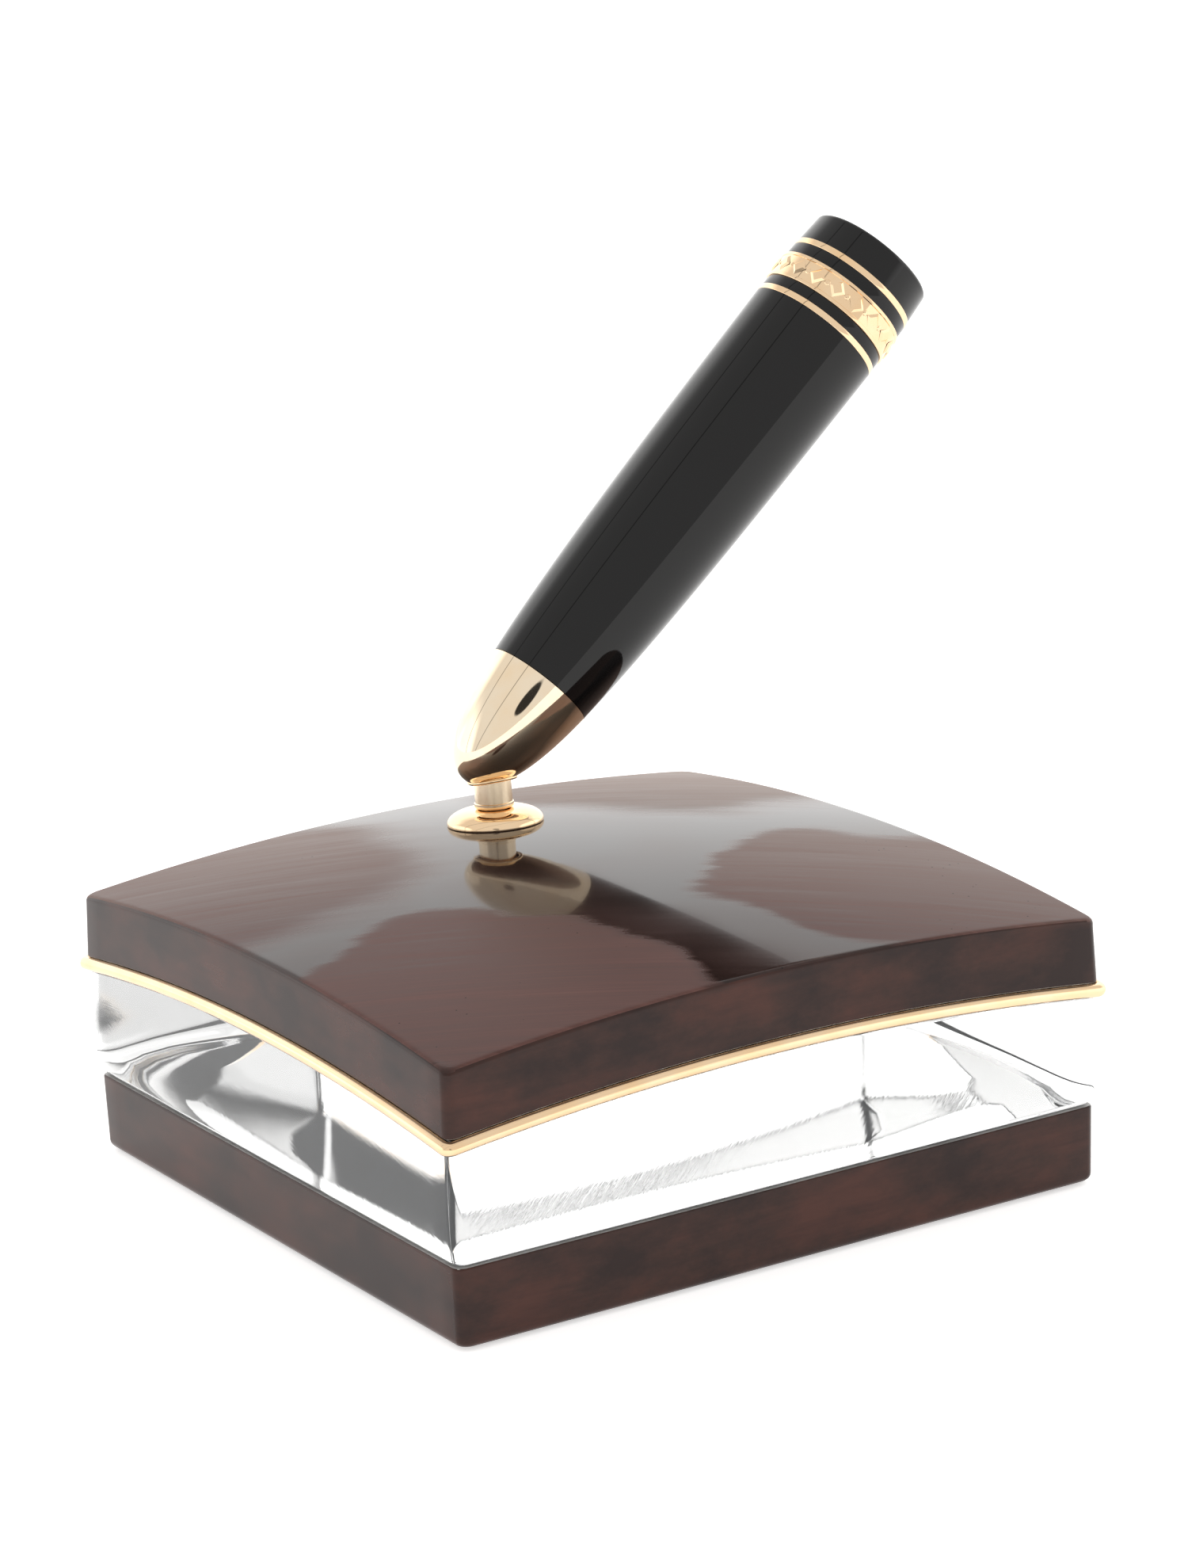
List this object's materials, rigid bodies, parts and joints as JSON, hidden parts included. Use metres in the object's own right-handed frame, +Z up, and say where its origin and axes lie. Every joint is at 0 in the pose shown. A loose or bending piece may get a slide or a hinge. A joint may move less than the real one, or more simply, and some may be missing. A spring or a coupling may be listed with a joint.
{
  "type": "desk pen stand",
  "caption": "Square layered desk block with a domed top, a clear middle layer and a gold bead, carrying a leaning black pen holder tube on a swivelling ball stem.",
  "frame": {"origin": "centre of the block at the underside of its felt sole", "axes": "+Z up; +X to the right along the front face, the side that the holder leans to; +Y towards the back, where the stem stands"},
  "size_m": [0.1218, 0.0986, 0.1168],
  "materials": {
    "felt": "matte felt",
    "brown_lacquer": "dark brown, polished lacquer",
    "crystal": "clear, polished",
    "gold_plate": "polished gold plate",
    "satin_gold": "fine-turned pale gold plate",
    "black_resin": "polished black resin",
    "liner_plastic": "smooth dark plastic",
    "nylon": "natural nylon",
    "steel": "bright zinc plate",
    "brass": "turned brass"
  },
  "bodies": {
    "block": {"felt_sole": "felt", "base_slab": "brown_lacquer", "crystal_block": "crystal", "trim_bead": "gold_plate", "top_slab": "brown_lacquer", "flange": "gold_plate", "bearing_bush": "brass", "clamp_washer": "steel", "clamp_nut": "brass"},
    "stem": {"stem": "satin_gold", "friction_washer": "steel", "lock_nut": "steel"},
    "holder": {"cone": "gold_plate", "ball_seat": "nylon", "disc_springs": "steel", "adjusting_plug": "brass", "tube": "black_resin", "liner": "liner_plastic", "ring_lower": "gold_plate", "spacer_lower": "black_resin", "engraved_band": "gold_plate", "spacer_upper": "black_resin", "ring_upper": "gold_plate", "lip_ring": "black_resin"}
  },
  "joints": [
    {"name": "swivel", "type": "hinge", "parent": "block", "child": "stem", "pos_m": [0.0034, 0.026, 0.04104], "axis": [0.009, 0.0691, 0.9976], "continuous": true},
    {"name": "holder_tilt", "type": "hinge", "parent": "stem", "child": "holder", "pos_m": [0.00349, 0.0267, 0.05122], "axis": [0.1077, 0.9917, -0.0697], "range_deg": [-4, 4]}
  ]
}
